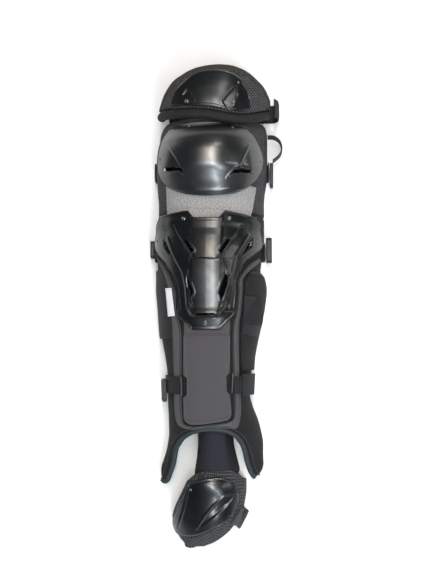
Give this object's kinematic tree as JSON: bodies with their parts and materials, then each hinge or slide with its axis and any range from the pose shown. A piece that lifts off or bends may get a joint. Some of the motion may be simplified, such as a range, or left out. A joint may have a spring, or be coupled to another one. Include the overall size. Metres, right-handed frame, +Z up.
{
  "type": "catcher leg guard",
  "caption": "Long curved shin, knee and thigh guard with hard black shells on a mesh pad, side straps with clips and a separate toe cup, lying on its back.",
  "frame": {"origin": "middle of the underside of the guard's outer box, on the floor that the straps lie on", "axes": "+Y runs from the toe cup to the thigh cap, +Z up through the shells, +X towards the side that carries the strap clips"},
  "size_m": [0.1844, 0.6564, 0.1215],
  "materials": {
    "shell": "glossy black moulded shell with soft wide reflections",
    "mesh": "black woven mesh over foam",
    "melange": "grey melange stretch knit",
    "knit": "charcoal brushed knit",
    "navy": "dark navy stretch knit",
    "elastic": "black elastic webbing",
    "binding": "smooth dark teal-grey edge binding",
    "label": "plain white sewn label",
    "plastic": "satin black moulded clips and studs",
    "steel": "dark wire bar"
  },
  "bodies": {
    "root": {"ankle_bar_left": "steel", "ankle_bar_right": "steel", "ankle_hook": "plastic", "ankle_keeper": "elastic", "ankle_strap": "elastic", "arch_binding": "binding", "border_welt": "mesh", "calf_clip_left": "plastic", "calf_clip_right": "plastic", "calf_strap": "elastic", "inner_wing": "mesh", "knee_clip": "plastic", "knee_pad": "mesh", "knee_panel": "melange", "knee_shell": "shell", "knee_strap": "elastic", "knee_strap_tail": "elastic", "knee_stud_left": "plastic", "knee_stud_right": "plastic", "knee_stud_top_left": "plastic", "knee_stud_top_right": "plastic", "lower_panel": "knit", "outer_flap": "elastic", "shin_body": "mesh", "shin_shell": "shell", "shin_stud_bottom": "plastic", "shin_stud_left": "plastic", "shin_stud_right": "plastic", "shin_stud_top_left": "plastic", "shin_stud_top_right": "plastic", "side_label": "label", "thigh_pad": "mesh", "thigh_roll": "mesh", "thigh_shell": "shell", "thigh_strap": "elastic", "thigh_stud_left": "plastic", "thigh_stud_right": "plastic", "thigh_stud_small": "plastic", "toe_pad": "mesh", "toe_shell": "shell", "toe_strap": "elastic", "toe_stud": "plastic", "toe_tongue": "navy", "wing_patch": "elastic"}
  },
  "joints": []
}
